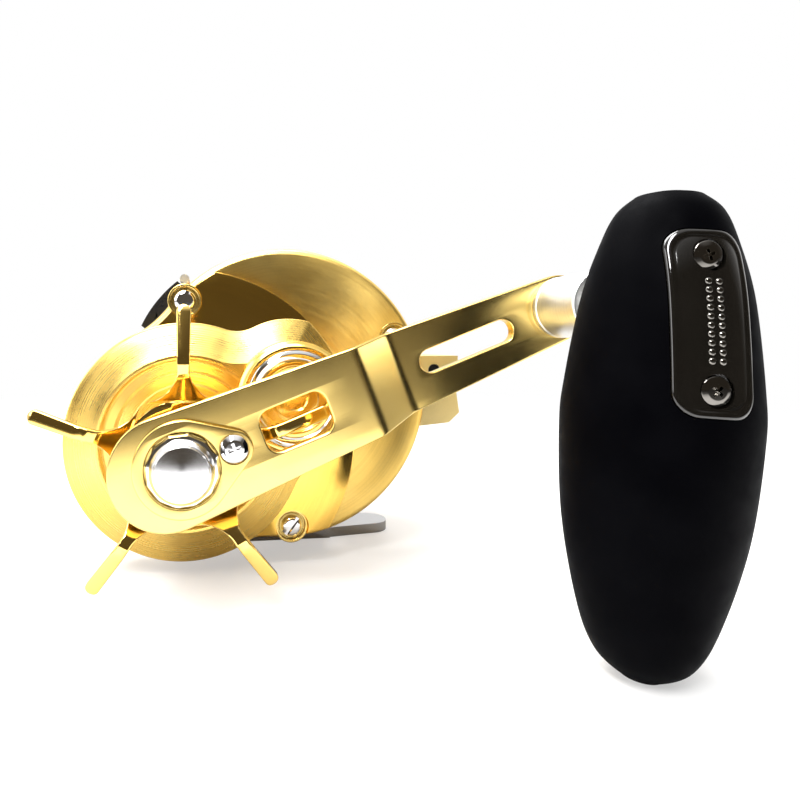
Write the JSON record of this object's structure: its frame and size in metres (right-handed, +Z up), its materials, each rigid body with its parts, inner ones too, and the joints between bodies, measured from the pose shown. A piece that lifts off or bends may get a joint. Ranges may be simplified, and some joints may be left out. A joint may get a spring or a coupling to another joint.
{
  "type": "fishing reel",
  "caption": "Round star-drag fishing reel with a gold metal body, a level-wind, a swept handle arm and one long black power grip.",
  "frame": {"origin": "middle of the underside of the reel foot, where the reel sits on a rod", "axes": "+Z up from the rod, +X towards the rod tip, -Y towards the handle; the spool axis runs along Y"},
  "size_m": [0.0983, 0.1038, 0.0643],
  "materials": {
    "gold_anodised": "satin gold anodised, turned face",
    "gold_polished": "bright gold anodised",
    "silver_foot": "satin clear anodised",
    "steel": "bright stainless steel",
    "chrome": "polished",
    "brass": "machined",
    "black_plastic": "matte black",
    "white_plastic": "natural acetal",
    "brake_plastic": "moulded",
    "grip_rubber": "matte black soft coat",
    "gloss_cap": "polished black",
    "carbon": "woven carbon fibre drag disc",
    "ceramic": "polished ceramic line guide insert",
    "black_steel": "black oxide"
  },
  "bodies": {
    "root": {"frame": "gold_anodised", "reel_foot": "silver_foot", "foot_rivets": "steel", "handle_side_plate": "gold_anodised", "gear_cover": "gold_anodised", "side_plate_screws": "chrome", "palm_side_plate": "gold_anodised", "palm_plate_screws": "chrome", "palm_bearing_cap": "steel", "yoke_springs": "steel", "pinion_bearing": "steel", "palm_bearing": "steel", "brake_drum": "steel", "drive_shaft_bush": "brass", "roller_clutch": "steel", "level_wind_hood": "gold_anodised", "hood_screws": "black_steel", "idler_pin": "steel", "worm_bushes": "white_plastic", "guide_rod": "steel", "tension_shim": "brass"},
    "thumb_bar": {"thumb_bar": "black_plastic", "thumb_bar_pin": "chrome", "clutch_plate": "steel"},
    "yoke": {"pinion_yoke": "black_plastic"},
    "pinion": {"pinion_gear": "brass"},
    "spool": {"spool": "gold_anodised", "spool_shaft": "steel", "spool_gear": "white_plastic", "brake_rotor": "black_plastic", "brake_blocks": "brake_plastic"},
    "handle": {"drive_gear": "brass", "drive_shaft": "steel", "drag_friction_washers": "carbon", "drag_metal_washers": "steel", "pressure_washer": "steel", "clutch_sleeve": "steel", "spring_washers": "steel", "handle_spacer": "steel", "handle_arm": "gold_anodised", "handle_nut": "chrome", "nut_retainer": "gold_polished", "retainer_screw": "chrome", "knob_spindle": "steel", "spindle_screw": "steel"},
    "star": {"star_drag": "gold_polished"},
    "star_nut": {"star_nut": "brass"},
    "grip": {"grip": "grip_rubber", "grip_bearings": "steel", "grip_plate": "gloss_cap", "grip_plate_screws": "black_steel"},
    "tension_knob": {"tension_knob": "gold_anodised", "knob_ring": "chrome"},
    "idler": {"idler_gear": "white_plastic"},
    "worm": {"worm_shaft": "steel", "worm_gear": "white_plastic"},
    "line_guide": {"line_guide": "black_plastic", "guide_ring": "ceramic", "pawl_cap": "chrome"},
    "pawl": {"guide_pawl": "brass"}
  },
  "joints": [
    {"name": "handle_turn", "type": "hinge", "parent": "root", "child": "handle", "pos_m": [-0.01964, 0, 0.02526], "axis": [0, -1, 0], "continuous": true},
    {"name": "grip_spin", "type": "hinge", "parent": "handle", "child": "grip", "pos_m": [0.04418, -0.067, 0.05014], "axis": [0, -1, 0], "continuous": true},
    {"name": "star_turn", "type": "hinge", "parent": "handle", "child": "star", "pos_m": [-0.01964, 0, 0.02526], "axis": [0, -1, 0], "range_deg": [-180, 180]},
    {"name": "star_nut_feed", "type": "slide", "parent": "star", "child": "star_nut", "axis": [0, -1, 0], "range_m": [-0.00025, 0.00025]},
    {"name": "spool_turn", "type": "hinge", "parent": "root", "child": "spool", "pos_m": [0, 0, 0.034], "axis": [0, -1, 0], "continuous": true},
    {"name": "yoke_lift", "type": "slide", "parent": "root", "child": "yoke", "axis": [0, -1, 0], "range_m": [0, 0.0015], "deforming": ["yoke_springs"]},
    {"name": "pinion_turn", "type": "hinge", "parent": "yoke", "child": "pinion", "pos_m": [0, 0, 0.034], "axis": [0, -1, 0], "continuous": true},
    {"name": "thumb_bar_press", "type": "slide", "parent": "root", "child": "thumb_bar", "axis": [0, 0, -1], "range_m": [0, 0.003]},
    {"name": "tension_knob_turn", "type": "hinge", "parent": "root", "child": "tension_knob", "pos_m": [0, 0, 0.034], "axis": [0, -1, 0], "range_deg": [-180, 180]},
    {"name": "idler_turn", "type": "hinge", "parent": "root", "child": "idler", "pos_m": [0.01532, 0, 0.02939], "axis": [0, -1, 0], "continuous": true},
    {"name": "worm_turn", "type": "hinge", "parent": "root", "child": "worm", "pos_m": [0.0306, 0, 0.032], "axis": [0, -1, 0], "continuous": true},
    {"name": "line_guide_slide", "type": "slide", "parent": "root", "child": "line_guide", "axis": [0, 1, 0], "range_m": [-0.008, 0.008]},
    {"name": "pawl_swivel", "type": "hinge", "parent": "line_guide", "child": "pawl", "pos_m": [0.0306, 0, 0.029], "axis": [0, 0, 1], "range_deg": [-40, 40]}
  ],
  "couplings": [
    {"joint": "pinion_turn", "follows": "handle_turn", "ratio": -5.1429},
    {"joint": "spool_turn", "follows": "handle_turn", "ratio": -5.1429},
    {"joint": "idler_turn", "follows": "handle_turn", "ratio": 1.7143},
    {"joint": "worm_turn", "follows": "handle_turn", "ratio": -5.8776},
    {"joint": "yoke_lift", "follows": "thumb_bar_press", "ratio": 0.5},
    {"joint": "star_nut_feed", "follows": "star_turn", "m_per_rad": -0.000079577}
  ]
}
